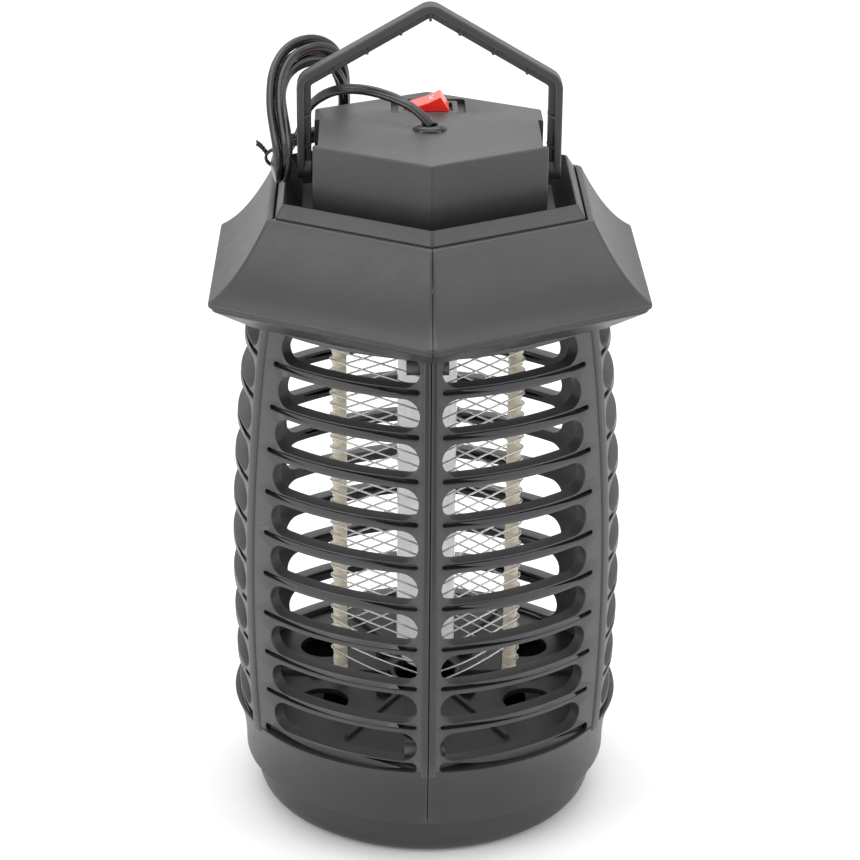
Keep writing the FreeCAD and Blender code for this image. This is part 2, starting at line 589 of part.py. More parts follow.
# ---- handle
def handle():
    def frame(name, inset, depth):
        """The handle's outline as a strip of the given width and depth."""
        body = doc.addObject("PartDesign::Body", name)
        inner = "handle_half - %s" % inset
        slope = "( apex_level - shoulder_level ) / handle_half"
        drop = "%s * 1.1547" % inset
        shoulder = "shoulder_level - %s + %s * %s" % (drop, inset, slope)
        apex = "apex_level - %s" % drop
        low = "pivot_level"
        points = [("handle_half", low), ("handle_half", "shoulder_level"), ("0", "apex_level"),
                  ("0 - handle_half", "shoulder_level"), ("0 - handle_half", low),
                  ("0 - ( %s )" % inner, low), ("0 - ( %s )" % inner, shoulder), ("0", apex),
                  (inner, shoulder), (inner, low)]
        sketch = sketched(body, name + "_profile", "XZ_Plane", points)
        pad = body.newObject("PartDesign::Pad", name + "_pad")
        pad.Profile = sketch
        pad.Midplane = True
        bind(pad, Length=depth)
        body.Tip = pad
        return body

    pieces = [frame("handle_flange", "flange_bar", "handle_depth"),
              frame("handle_web", "handle_bar", "web_depth")]
    inner = "handle_half - handle_bar"
    for name, side in SIDES:
        x = (inner, "handle_half") if side > 0 else ("0 - handle_half", "0 - ( %s )" % inner)
        pieces.append(cross_rod("handle_eye_" + name, "handle_depth / 2", x, "0", "pivot_level"))
        low = "box_radius * 0.866 - box_wall"
        x = (low, inner) if side > 0 else ("0 - ( %s )" % inner, "0 - ( %s )" % low)
        pieces.append(cross_rod("handle_pin_" + name, "pin_radius", x, "0", "pivot_level"))
    return fuse("handle", *pieces)


# ---- power cord: lead, hank, tie, tail and plug
LEAD = [(0.6, -3.4, 381.2), (-5.5, 0.5, 387.8), (-17.0, 8.5, 392.2), (-32.0, 17.0, 394.6),
        (-47.0, 26.0, 392.6), (-58.5, 35.5, 385.0), (-65.5, 44.0, 374.0), (-69.3, 49.5, 360.5)]
HANK = [(-76.2, -5.0, 357.3), (-74.8, -14.0, 357.6), (-74.0, -22.5, 365.0), (-74.2, -18.0, 374.0),
        (-76.0, -7.0, 380.0), (-78.5, 6.0, 388.5), (-79.0, 20.0, 398.0), (-73.5, 33.5, 405.5),
        (-62.0, 43.5, 408.0), (-51.0, 52.5, 402.5), (-46.0, 59.5, 390.5), (-44.3, 65.5, 377.0),
        (-47.0, 69.0, 364.5), (-56.5, 64.8, 357.6), (-67.5, 54.2, 357.3), (-76.3, 41.0, 357.2),
        (-79.3, 26.0, 357.4), (-78.6, 10.5, 357.1)]
TAIL = [(-48.0, 66.2, 362.0), (-36.0, 72.5, 359.6), (-22.0, 79.5, 361.0), (-7.5, 84.2, 360.2),
        (7.3, 80.7, 360.2)]


def rounded_path(points, closed=False):
    """Straight runs joined by tangent arcs, each as large as its two runs allow."""
    spots = [FreeCAD.Vector(*spot) for spot in points]
    count = len(spots)
    corners, radii = {}, []
    for k in range(count if closed else count - 2):
        here = k if closed else k + 1
        before, spot, after = spots[here - 1], spots[here], spots[(here + 1) % count]
        first, second = spot - before, after - spot
        turn = first.getAngle(second)
        shorter = min(first.Length, second.Length)
        trim = 0.45 * shorter
        radii.append(trim / math.tan(turn / 2))
        a = spot - FreeCAD.Vector(first).normalize() * trim
        b = spot + FreeCAD.Vector(second).normalize() * trim
        chord = (a + b) / 2
        inward = (chord - spot).normalize()
        centre = spot + inward * (radii[-1] / math.cos(turn / 2))
        corners[here] = (a, centre - inward * radii[-1], b)
    edges = []
    for k in range(count if closed else count - 1):
        following = (k + 1) % count
        start = corners[k][2] if k in corners else spots[k]
        stop = corners[following][0] if following in corners else spots[following]
        edges.append(Part.LineSegment(start, stop).toShape())
        if following in corners:
            edges.append(Part.Arc(*corners[following]).toShape())
    return Part.Wire(edges), radii


def tube(name, points, radius, closed=False):
    """A round tube along such a path; its volume is compared with section times length."""
    path, radii = rounded_path(points, closed)
    pieces = []
    for edge in path.OrderedEdges:
        low, high = edge.FirstParameter, edge.LastParameter
        if edge.Orientation == "Reversed":
            low, high = high, low
        start, tangent = edge.valueAt(low), edge.tangentAt(low)
        disc = Part.Face(Part.Wire([Part.Circle(start, tangent, radius).toShape()]))
        if isinstance(edge.Curve, Part.Circle):
            centre = edge.Curve.Center
            axis = (start - centre).cross(edge.valueAt(high) - centre)
            angle = math.degrees((start - centre).getAngle(edge.valueAt(high) - centre))
            pieces.append(disc.revolve(centre, axis, angle))
        else:
            pieces.append(disc.extrude(edge.valueAt(high) - start))
    item = doc.addObject("Part::Feature", name)
    item.Shape = pieces[0].multiFuse(pieces[1:])
    print("%s: length %.1f, radii %s, volume %.0f of %.0f" % (
        name, path.Length, " ".join("%.0f" % r for r in radii), item.Shape.Volume,
        math.pi * radius ** 2 * path.Length))
    return item


def cord():
    width = value("cord_width")
    lead = tube("cord_lead", LEAD, width / 2)
    hank = tube("cord_hank", HANK, value("hank_radius"), closed=True)
    tail = tube("cord_tail", TAIL, width / 2)
    tie = doc.addObject("Part::Torus", "cord_tie")
    bind(tie, Radius1="hank_radius + 0.4", Radius2="tie_thickness")
    tie.Placement = FreeCAD.Placement(FreeCAD.Vector(-78.9, 18.0, 357.3), FreeCAD.Rotation(
        FreeCAD.Vector(0, 0, 1), FreeCAD.Vector(0.06, 1.0, 0.03)))
    return [lead, hank, tail, tie, plug()]


def plug():
    """A moulded two-blade plug, lying along the collar's crest behind the box."""
    across = ("0 - plug_width / 2", "plug_width / 2")
    pieces = [block("plug_shell", ("0", "plug_length"), across, ("0 - plug_height / 2", "plug_height / 2"))]
    for k, side in enumerate((-1, 1)):
        middle = "blade_gap * %d" % side
        y = (middle + " - blade_thickness / 2", middle + " + blade_thickness / 2")
        pieces.append(block("plug_blade_%d" % k, ("plug_length - 0.5", "plug_length + blade_length - 0.5"), y,
                            ("0 - blade_width / 2", "blade_width / 2")))
    body = fuse("plug", *pieces)
    body.Placement = FreeCAD.Placement(FreeCAD.Vector(7.3, 80.7, 360.2), FreeCAD.Rotation(-30, 0, 0))
    return body


subparts = [top_cap(), *canopy(), *cage(), catch_tray(), *chamber(), *electronics(), *screws(),
            *switch(), *grommet(), handle(), *cord()]
doc.recompute()
sheet.clear(TRIAL_CELL)

for thing in doc.Objects:
    assert not {"Invalid", "Error"} & set(thing.State), "%s failed" % thing.Name
for part in subparts:
    part.Label = part.Name
    assert not part.Shape.isNull() and part.Shape.isValid(), "%s has no valid shape" % part.Name

os.makedirs("parts", exist_ok=True)
for part in subparts:
    part.Shape.exportStep("parts/%s.step" % part.Name)
    box = part.Shape.BoundBox
    print("%-18s %2d solids  %9.0f mm3  x %6.1f %6.1f  y %6.1f %6.1f  z %6.1f %6.1f" % (
        part.Name, len(part.Shape.Solids), part.Shape.Volume, box.XMin, box.XMax, box.YMin, box.YMax,
        box.ZMin, box.ZMax))
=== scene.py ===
import math
import random

import bmesh
import bpy
from mathutils import Matrix, Quaternion, Vector


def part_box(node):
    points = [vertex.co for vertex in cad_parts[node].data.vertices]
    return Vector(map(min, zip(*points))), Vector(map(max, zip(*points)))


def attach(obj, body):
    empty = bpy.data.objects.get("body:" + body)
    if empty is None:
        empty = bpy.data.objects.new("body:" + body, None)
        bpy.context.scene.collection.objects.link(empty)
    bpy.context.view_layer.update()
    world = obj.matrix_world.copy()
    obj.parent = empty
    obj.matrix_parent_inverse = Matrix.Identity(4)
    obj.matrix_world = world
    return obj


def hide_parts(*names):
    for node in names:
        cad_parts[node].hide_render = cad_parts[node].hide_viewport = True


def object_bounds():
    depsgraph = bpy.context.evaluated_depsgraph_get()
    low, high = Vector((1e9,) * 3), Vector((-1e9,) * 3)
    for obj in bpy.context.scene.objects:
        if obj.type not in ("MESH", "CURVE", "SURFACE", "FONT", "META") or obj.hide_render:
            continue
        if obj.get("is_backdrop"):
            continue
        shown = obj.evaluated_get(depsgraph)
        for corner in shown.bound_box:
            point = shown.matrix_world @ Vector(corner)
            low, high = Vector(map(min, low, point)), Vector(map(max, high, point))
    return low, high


# Electric bug zapper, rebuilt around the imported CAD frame. Shapes are worked out in millimetres
# in the frame's own axes (+Z up, one corner of the hexagon to the front along -Y), and each mesh
# is scaled to metres as it is made.

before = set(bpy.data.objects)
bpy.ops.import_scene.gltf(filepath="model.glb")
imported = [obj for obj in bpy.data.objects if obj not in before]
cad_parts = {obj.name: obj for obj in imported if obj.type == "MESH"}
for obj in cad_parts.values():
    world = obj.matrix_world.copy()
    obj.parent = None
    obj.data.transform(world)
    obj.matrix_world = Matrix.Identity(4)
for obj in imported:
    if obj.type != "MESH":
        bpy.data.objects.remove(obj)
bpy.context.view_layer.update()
random.seed(11)

MM = 0.001
UP = Vector((0, 0, 1))
COS30 = math.cos(math.radians(30))


def span(node):
    """A CAD node's lowest and highest corner, in millimetres."""
    low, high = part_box(node)
    return low / MM, high / MM


bpy.context.scene.view_settings.view_transform = "Standard"

# ---- camera
ELEVATION = math.radians(22.7287)
YAW = math.radians(1.2546)
ROLL = math.radians(0.5187)
DISTANCE = 1443.44
LOOK_AT = Vector((1.6835, 0, 209.78))

lens = bpy.data.cameras.new("camera")
lens.sensor_width = 36
lens.lens = 111.67
lens.clip_start, lens.clip_end = 0.05, 50
camera = bpy.data.objects.new("camera", lens)
bpy.context.scene.collection.objects.link(camera)
bpy.context.scene.camera = camera
back = Vector((0, -math.cos(ELEVATION), math.sin(ELEVATION)))
place = Matrix.Translation((LOOK_AT + back * DISTANCE) * MM)
aim = (-back).to_track_quat("-Z", "Y").to_matrix().to_4x4()
camera.matrix_world = (Matrix.Rotation(-YAW, 4, "Z") @ place @ aim @ Matrix.Rotation(ROLL, 4, "Z"))


# ---- materials
def material(name, colour, rough, metallic=0.0, coat=0.0, grain=0.0, grain_scale=1400.0,
             blotch=0.0, blotch_scale=30.0, rough_spread=0.06, edge_highlight=0.0, edge_highlight_colour=(0.3, 0.3, 0.3),
             glow=0.0, sink=0.0):
    """A procedural finish: grain is the height of a fine bump, blotch a slow change of colour, the
    painted edge highlight a paler tone along exposed edges, glow a faint light and sink the depth of soft
    plastic."""
    mat = bpy.data.materials.new(name)
    mat.use_nodes = True
    nodes, links = mat.node_tree.nodes, mat.node_tree.links
    shader = nodes["Principled BSDF"]
    shader.inputs["Roughness"].default_value = rough
    shader.inputs["Metallic"].default_value = metallic
    shader.inputs["Coat Weight"].default_value = coat
    shader.inputs["Coat Roughness"].default_value = 0.12
    shader.inputs["Subsurface Weight"].default_value = sink
    if sink:
        shader.inputs["Subsurface Radius"].default_value = (0.004, 0.003, 0.002)
    if glow:
        shader.inputs["Emission Color"].default_value = (*colour, 1)
        shader.inputs["Emission Strength"].default_value = glow
    where = nodes.new("ShaderNodeTexCoord").outputs["Object"]

    def noise(scale, detail):
        item = nodes.new("ShaderNodeTexNoise")
        item.inputs["Scale"].default_value = scale
        item.inputs["Detail"].default_value = detail
        links.new(where, item.inputs["Vector"])
        return item.outputs["Fac"]

    slow = noise(blotch_scale, 4)
    ramp = nodes.new("ShaderNodeValToRGB")
    ramp.color_ramp.elements[0].position, ramp.color_ramp.elements[1].position = 0.3, 0.7
    ramp.color_ramp.elements[0].color = (*[c * (1 - blotch) for c in colour], 1)
    ramp.color_ramp.elements[1].color = (*[min(1, c * (1 + blotch)) for c in colour], 1)
    links.new(slow, ramp.inputs["Fac"])
    tone = ramp.outputs["Color"]
    # painted highlight: a paler colour mixed in along convex edges, where light would catch them
    if edge_highlight:
        edge = nodes.new("ShaderNodeMapRange")
        edge.inputs["From Min"].default_value, edge.inputs["From Max"].default_value = 0.52, 0.60
        edge.inputs["To Max"].default_value = edge_highlight
        links.new(nodes.new("ShaderNodeNewGeometry").outputs["Pointiness"], edge.inputs["Value"])
        mix = nodes.new("ShaderNodeMix")
        mix.data_type = "RGBA"
        colour_b = next(i for i in mix.inputs if i.type == "RGBA" and i.name == "B")
        colour_b.default_value = (*edge_highlight_colour, 1)
        links.new(edge.outputs["Result"], mix.inputs["Factor"])
        links.new(tone, next(i for i in mix.inputs if i.type == "RGBA" and i.name == "A"))
        tone = next(o for o in mix.outputs if o.type == "RGBA")
    links.new(tone, shader.inputs["Base Color"])
    spread = nodes.new("ShaderNodeMapRange")
    spread.inputs["To Min"].default_value = max(0.03, rough - rough_spread)
    spread.inputs["To Max"].default_value = min(1, rough + rough_spread)
    links.new(noise(blotch_scale * 5, 3), spread.inputs["Value"])
    links.new(spread.outputs["Result"], shader.inputs["Roughness"])
    if grain:
        bump = nodes.new("ShaderNodeBump")
        bump.inputs["Strength"].default_value = 1
        bump.inputs["Distance"].default_value = grain * MM
        links.new(noise(grain_scale, 3), bump.inputs["Height"])
        links.new(bump.outputs["Normal"], shader.inputs["Normal"])
    return mat


# the shell's paler edges are a painted highlight, standing in for light caught on its rims
SHELL = material("shell_black", (0.022, 0.022, 0.024), 0.40, grain=0.05, blotch=0.12,
                 edge_highlight=0.5, edge_highlight_colour=(0.10, 0.10, 0.105))
INNER = material("inner_black", (0.018, 0.018, 0.019), 0.34, grain=0.03, blotch=0.15)
IVORY = material("ivory_insulator", (0.78, 0.72, 0.58), 0.38, grain=0.03, blotch=0.05, sink=0.2)
WIRE = material("grid_wire", (0.72, 0.71, 0.69), 0.22, metallic=1.0, grain=0.01, blotch=0.06)
GLASS = material("lamp_white", (0.86, 0.87, 0.88), 0.16, coat=0.6, blotch=0.02, glow=0.12, sink=0.1)
BASE_WHITE = material("lamp_base_white", (0.75, 0.75, 0.73), 0.35, grain=0.02, blotch=0.03)
BOARD = material("board_green", (0.03, 0.16, 0.07), 0.42, coat=0.3, grain=0.02, blotch=0.2,
                 blotch_scale=160)
CAN = material("capacitor_blue", (0.05, 0.11, 0.32), 0.3, coat=0.3, blotch=0.08)
ZINC = material("zinc_steel", (0.62, 0.63, 0.65), 0.32, metallic=1.0, grain=0.02, blotch=0.1)
SWITCH = material("switch_black", (0.012, 0.012, 0.013), 0.28, grain=0.015, blotch=0.1)
RED = material("rocker_red", (0.90, 0.022, 0.010), 0.24, coat=0.35, grain=0.008, blotch=0.05, sink=0.05)
MARK = material("rocker_mark", (0.88, 0.80, 0.76), 0.45, grain=0.01, blotch=0.04)
CORD = material("cord_black", (0.014, 0.014, 0.015), 0.27, grain=0.02, grain_scale=700, blotch=0.1)
TIE = material("tie_black", (0.02, 0.02, 0.02), 0.5, grain=0.04, blotch=0.15)
PLUG = material("plug_black", (0.016, 0.016, 0.017), 0.33, grain=0.03, blotch=0.1)
BRASS = material("plug_blade", (0.72, 0.60, 0.34), 0.28, metallic=1.0, grain=0.01, blotch=0.08)


# ---- mesh helpers
def skin(bm, loops, wrap_rows=False, wrap_points=True):
    """Quads between successive loops of points; returns the rings of vertices."""
    rings = [[bm.verts.new(point) for point in loop] for loop in loops]
    count = len(rings[0])
    for row in range(len(rings) if wrap_rows else len(rings) - 1):
        first, second = rings[row], rings[(row + 1) % len(rings)]
        for k in range(count if wrap_points else count - 1):
            following = (k + 1) % count
            bm.faces.new((first[k], first[following], second[following], second[k]))
    return rings


def capped(bm, loops):
    """A closed solid through loops, with a flat face on the first and the last."""
    rings = skin(bm, loops)
    bm.faces.new(list(reversed(rings[0])))
    bm.faces.new(rings[-1])
    return rings


def circle(radius, z, centre=(0, 0), count=64):
    return [Vector((centre[0] + radius * math.cos(2 * math.pi * k / count),
                    centre[1] + radius * math.sin(2 * math.pi * k / count), z)) for k in range(count)]


def lathe(bm, profile, centre=(0, 0), count=64, closed=True):
    """A solid of revolution about an upright line through centre; closed profiles are rings."""
    loops = [circle(radius, z, centre, count) for radius, z in profile]
    if closed:
        skin(bm, loops, wrap_rows=True)
    else:
        capped(bm, loops)


def hex_loop(radius, z, corner, steps=4):
    """A hexagon with rounded corners, corners to the front and back."""
    inner = radius - corner / COS30
    loop = []
    for k in range(6):
        axis = math.radians(90 + 60 * k)
        for step in range(steps + 1):
            angle = axis + math.radians(60 * step / steps - 30)
            loop.append(Vector((inner * math.cos(axis) + corner * math.cos(angle),
                                inner * math.sin(axis) + corner * math.sin(angle), z)))
    return loop


def prism(bm, outline, low, high, axis="Z"):
    """An outline of pairs pulled from low to high along an axis."""
    place = {"X": lambda a, b, c: (c, a, b), "Y": lambda a, b, c: (a, c, b),
             "Z": lambda a, b, c: (a, b, c)}[axis]
    return capped(bm, [[Vector(place(a, b, c)) for a, b in outline] for c in (low, high)])


def box_outline(x, y, corner=0.0, steps=4):
    """A rectangle as pairs, with rounded corners if corner isn't 0."""
    if not corner:
        return [(x[0], y[0]), (x[1], y[0]), (x[1], y[1]), (x[0], y[1])]
    points = []
    for k, (cx, cy) in enumerate([(x[1] - corner, y[1] - corner), (x[0] + corner, y[1] - corner),
                                  (x[0] + corner, y[0] + corner), (x[1] - corner, y[0] + corner)]):
        for step in range(steps + 1):
            angle = math.radians(90 * k + 90 * step / steps)
            points.append((cx + corner * math.cos(angle), cy + corner * math.sin(angle)))
    return points


def keep_side(bm, side, gap):
    """Cuts a mesh at the parting plane, keeps one side, and closes the cut."""
    bmesh.ops.bisect_plane(bm, geom=bm.verts[:] + bm.edges[:] + bm.faces[:], dist=1e-5,
                           plane_co=(side * gap / 2, 0, 0), plane_no=(side, 0, 0), clear_inner=True)
    bmesh.ops.holes_fill(bm, edges=[e for e in bm.edges if e.is_boundary], sides=0)


def sweep(bm, points, section, width_axis, closed=False, pull=0.0, scale=None):
    """A section of pairs carried along points. The section's first axis turns as little as it can,
    and is pulled toward width_axis, a vector or a rule of the point and tangent, at each point."""
    count = len(points)
    rule = width_axis if callable(width_axis) else lambda spot, tangent: Vector(width_axis)
    axis = rule(points[0], (points[1] - points[0]).normalized())
    loops = []
    for k, point in enumerate(points):
        before = points[(k - 1) % count] if closed else points[max(k - 1, 0)]
        after = points[(k + 1) % count] if closed else points[min(k + 1, count - 1)]
        tangent = (after - before).normalized()
        wanted = rule(point, tangent)
        wanted -= tangent * tangent.dot(wanted)
        if wanted.length > 0.2:
            wanted.normalize()
            axis = axis.lerp(wanted if wanted.dot(axis) >= 0 else -wanted, pull)
        axis = (axis - tangent * tangent.dot(axis)).normalized()
        side = tangent.cross(axis)
        size = scale(k / (count - 1)) if scale else 1
        loops.append([point + axis * a * size + side * b * size for a, b in section])
    if closed:
        skin(bm, loops, wrap_rows=True)
    else:
        capped(bm, loops)


def ring_section(radius, count=10, centre=(0, 0)):
    """A circle as pairs."""
    return [(centre[0] + radius * math.cos(2 * math.pi * k / count),
             centre[1] + radius * math.sin(2 * math.pi * k / count)) for k in range(count)]


def finish(name, bm, mat, body, nodes=(), bevel=0.0, angle=32, steps=2, weld=0.002):
    """Turns a mesh in millimetres into a piece that rides on a body."""
    if weld:
        bmesh.ops.remove_doubles(bm, verts=bm.verts, dist=weld)
    bmesh.ops.recalc_face_normals(bm, faces=bm.faces)
    mesh = bpy.data.meshes.new(name)
    bm.to_mesh(mesh)
    bm.free()
    mesh.transform(Matrix.Scale(MM, 4))
    mesh.materials.append(mat)
    mesh.shade_smooth()
    mesh.set_sharp_from_angle(angle=math.radians(angle))
    piece = bpy.data.objects.new(name, mesh)
    bpy.context.scene.collection.objects.link(piece)
    if bevel:
        soften(piece, bevel, angle, steps)
    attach(piece, body)
    if nodes:
        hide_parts(*nodes)
    return piece


def soften(piece, width, angle, steps):
    """Rounds the sharp edges by a width in millimetres."""
    bevel = piece.modifiers.new("soften", "BEVEL")
    bevel.width = width * MM
    bevel.segments = steps
    bevel.limit_method = "ANGLE"
    bevel.angle_limit = math.radians(angle)
    bevel.use_clamp_overlap = True
    bevel.harden_normals = True
    even = piece.modifiers.new("even", "WEIGHTED_NORMAL")
    even.keep_sharp = True


def solid(bm):
    """A loose object, in millimetres, for use in a boolean."""
    bmesh.ops.remove_doubles(bm, verts=bm.verts, dist=0.002)
    bmesh.ops.recalc_face_normals(bm, faces=bm.faces)
    mesh = bpy.data.meshes.new("cutter")
    bm.to_mesh(mesh)
    bm.free()
    item = bpy.data.objects.new("cutter", mesh)
    bpy.context.scene.collection.objects.link(item)
    return item


def carved(blank, tools, solver="EXACT"):
    """The blank less the tools, as a new bmesh."""
    base, cutter = solid(blank), solid(tools)
    cut = base.modifiers.new("cut", "BOOLEAN")
    cut.operation, cut.solver, cut.object = "DIFFERENCE", solver, cutter
    evaluated = base.evaluated_get(bpy.context.evaluated_depsgraph_get())
    result = bmesh.new()
    result.from_mesh(evaluated.to_mesh())
    for item in (base, cutter):
        bpy.data.objects.remove(item)
    return result


# ---- power cord: lead, a loosely tied hank of four turns, tail and plug
LEAD = [(0.6, -3.4, 381.2), (-5.5, 0.5, 387.8), (-17.0, 8.5, 392.2), (-32.0, 17.0, 394.6),
        (-47.0, 26.0, 392.6), (-58.5, 35.5, 385.0), (-65.5, 44.0, 374.0), (-69.3, 49.5, 360.5)]
HANK = [(-76.2, -5.0, 357.3), (-74.8, -14.0, 357.6), (-74.0, -22.5, 365.0), (-74.2, -18.0, 374.0),
        (-76.0, -7.0, 380.0), (-78.5, 6.0, 388.5), (-79.0, 20.0, 398.0), (-73.5, 33.5, 405.5),
        (-62.0, 43.5, 408.0), (-51.0, 52.5, 402.5), (-46.0, 59.5, 390.5), (-44.3, 65.5, 377.0),
        (-47.0, 69.0, 364.5), (-56.5, 64.8, 357.6), (-67.5, 54.2, 357.3), (-76.3, 41.0, 357.2),
        (-79.3, 26.0, 357.4), (-78.6, 10.5, 357.1)]
TAIL = [(-48.0, 66.2, 362.0), (-36.0, 72.5, 359.6), (-22.0, 79.5, 361.0), (-7.5, 84.2, 360.2),
        (7.3, 80.7, 360.2)]
HANK_MIDDLE = Vector((-66, 24, 380))
HANK_SIDE = Vector((-0.92, 0.39, 0))
FAN = [0, 0.1, 0.4, 0.6, 0.8, 0.9, 1, 1, 1, 1, 0.8, 0.5, 0.2, 0.1, 0, 0, 0, 0]
SPREAD = [(-4.5, -1.5), (-0.5, 2.5), (3.5, -2.5), (7.5, 1.5)]
PACK = [(-1.85, 2.85), (-1.85, -2.85), (1.85, -2.85), (1.85, 2.85)]
LEAD_FACE = Vector((0, -0.92, 0.39))
CORD_WIDTH, CORD_THICK = 5.6, 3.6
FIRST, LAST = 15, 11

turns = []
for step in range(3 * len(HANK) + (LAST - FIRST) % len(HANK) + 1):
    here = (FIRST + step) % len(HANK)
    turn = step // len(HANK)
    spot = Vector(HANK[here])
    outward = (spot - HANK_MIDDLE)
    outward -= HANK_SIDE * outward.dot(HANK_SIDE)
    outward.normalize()
    fan = FAN[here]
    turns.append(spot + outward * (SPREAD[turn][0] * fan + PACK[turn][1] * (1 - fan))
                 + HANK_SIDE * (SPREAD[turn][1] * fan + PACK[turn][0] * (1 - fan)))

route = [Vector(p) for p in LEAD] + turns + [Vector(p) for p in TAIL]
line = bpy.data.curves.new("cord_line", "CURVE")
line.dimensions = "3D"
line.resolution_u = 10
spline = line.splines.new("NURBS")
spline.points.add(len(route) - 1)
for knot, spot in zip(spline.points, route):
    knot.co = (*spot, 1)
spline.order_u = 3
spline.use_endpoint_u = True
guide = bpy.data.objects.new("cord_line", line)
bpy.context.scene.collection.objects.link(guide)
sampled = bpy.data.meshes.new_from_object(guide)
cord_points = [v.co.copy() for v in sampled.vertices]
bpy.data.objects.remove(guide)


def cord_width(spot, tangent):
    """The way the flat cord's width runs: level near its ends, else across the lead or the hank."""
    if spot.x > -9 or (spot.x > -40 and spot.y > 60):
        return UP.cross(tangent)
    if spot.x > -56 and spot.y < 45 and spot.z > 380:
        return LEAD_FACE.cross(tangent)
    return HANK_SIDE.cross(tangent)


half, lobe = CORD_WIDTH / 2, CORD_THICK / 2
twin = []
for centre, turned in ((half - lobe, 1), (lobe - half, -1)):
    for step in range(9):
        angle = math.radians(-120 + 240 * step / 8)
        twin.append((centre + turned * lobe * math.cos(angle), turned * lobe * math.sin(angle)))
bm = bmesh.new()
sweep(bm, cord_points, twin, cord_width, pull=0.12)
cord = finish("power_cord", bm, CORD, "housing", ["cord_lead", "cord_hank", "cord_tail"],
              angle=50, weld=0)

# the twist tie: two turns of a wire round the bundle and two twisted ends
TIE_SPOT = Vector((-78.9, 18.0, 357.3))
WRAP_WIDE, WRAP_TALL, WRAP_PITCH = 6.6, 4.9, 1.3
bm = bmesh.new()
along = Vector((0.06, 1.0, 0.03)).normalized()
wrap = []
for step in range(49):
    angle = math.radians(-60 + 15 * step)
    wrap.append(TIE_SPOT + Vector((WRAP_WIDE * math.cos(angle), 0, WRAP_TALL * math.sin(angle)))
                + along * (step / 24 - 1) * WRAP_PITCH)
sweep(bm, wrap, ring_section(0.8), along, pull=0.3)
for offset in (0, math.pi):
    tail_points = []
    for step in range(25):
        t = step / 24
        angle = offset + 14 * t
        climb = Vector((-6.2 - 5 * t, 1.5 * t, 2.6 + 7.5 * t * (1 - 0.35 * t)))
        curl = Vector((0, math.cos(angle), math.sin(angle))) * 0.9
        tail_points.append(TIE_SPOT + climb + curl)
    sweep(bm, tail_points, ring_section(0.75, 8), UP, pull=0.2)
tie = finish("cord_twist_tie", bm, TIE, "housing", ["cord_tie"], angle=60, weld=0)

# the moulded plug: ribbed neck, waisted body and two blades
PLUG_SPOT = Vector(TAIL[-1])
PLUG_TURN = Matrix.Translation(PLUG_SPOT) @ Matrix.Rotation(math.radians(-30), 4, "Z")
bm = bmesh.new()
plug_rings = [(-5.5, 3.6, 2.7), (-5.2, 4.2, 3.2), (-3.9, 4.2, 3.2), (-3.5, 3.6, 2.8), (-2.3, 3.7, 2.9),
              (-1.9, 4.8, 3.6), (-0.7, 4.9, 3.7), (-0.3, 4.2, 3.3), (0.8, 4.3, 3.4), (1.2, 5.6, 4.2),
              (2.6, 6.0, 4.6), (4.0, 7.6, 5.8), (7.0, 9.2, 6.9), (11.0, 9.9, 7.3), (15.0, 9.3, 6.9),
              (19.0, 9.2, 6.8), (23.0, 10.3, 7.5), (27.0, 10.8, 7.7), (29.2, 10.6, 7.6),
              (30.0, 9.8, 7.0)]
SQUARENESS = 0.62
BLADE_GAP, BLADE_HALF, BLADE_SIDE, BLADE_TIP = 6.35, 0.8, 3.15, 1.6
loops = []
for x, wide, tall in plug_rings:
    loops.append([Vector((x, wide * math.copysign(abs(math.cos(a)) ** SQUARENESS, math.cos(a)),
                          tall * math.copysign(abs(math.sin(a)) ** SQUARENESS, math.sin(a))))
                  for a in (2 * math.pi * k / 40 for k in range(40))])
capped(bm, loops)
bm.transform(PLUG_TURN)
plug = finish("plug_body", bm, PLUG, "housing", ["plug"], angle=38)
bm = bmesh.new()
for side in (-1, 1):
    prism(bm, [(29.0, -BLADE_SIDE), (45.5, -BLADE_SIDE), (47.4, -BLADE_TIP),
               (47.4, BLADE_TIP), (45.5, BLADE_SIDE), (29.0, BLADE_SIDE)],
          side * BLADE_GAP - BLADE_HALF, side * BLADE_GAP + BLADE_HALF, axis="Y")
bm.transform(PLUG_TURN)
blades = finish("plug_blades", bm, BRASS, "housing", bevel=0.2)


# ---- top cap: terminal box, gutter and collar
cap_high = span("top_cap")[1]
box_top = cap_high.z
rim = cap_high.y
BOX, FOOT = 69.0, 333.5
POCKET_DEPTH, POCKET_HALF = 2.6, (19.7, 13.6)
RECESS_DEPTH, RECESS_FLOOR = 2.8, 346.0
bm = bmesh.new()
capped(bm, [hex_loop(r, z, c) for r, z, c in [
    (70, FOOT, 2), (rim - 0.5, FOOT, 2.4), (rim, FOOT + 0.5, 2.6), (rim, 344.9, 2.6),
    (rim - 0.25, 345.6, 2.6), (86.6, 351.2, 2.4), (86.3, 351.5, 2.3), (85.4, 351.5, 2.2),
    (85.1, 351.2, 2.2), (77.2, 336.6, 1.4),
    (76.4, 336.0, 1.2), (70.2, 336.0, 1.4), (BOX, 336.9, 1.5), (BOX, box_top - 1.0, 1.5),
    (BOX - 0.3, box_top - 0.35, 1.5), (BOX - 1.0, box_top, 1.4)]])
tools = bmesh.new()
switch_low, switch_high = span("switch_body")
pocket_floor = box_top - POCKET_DEPTH
middle = (switch_low.y + switch_high.y) / 2
prism(tools, box_outline((-POCKET_HALF[0], POCKET_HALF[0]),
                         (middle - POCKET_HALF[1], middle + POCKET_HALF[1]), 2.2),
      pocket_floor, box_top + 5)
flat = BOX * COS30
for side in (-1, 1):
    x = sorted((side * (flat - RECESS_DEPTH), side * (flat + 5)))
    prism(tools, box_outline((-33.3, 13.4), (RECESS_FLOOR, box_top + 5), 2.0), x[0], x[1], axis="X")
finish("cap_box", carved(bm, tools), SHELL, "housing", ["top_cap"], bevel=0.35, angle=28)

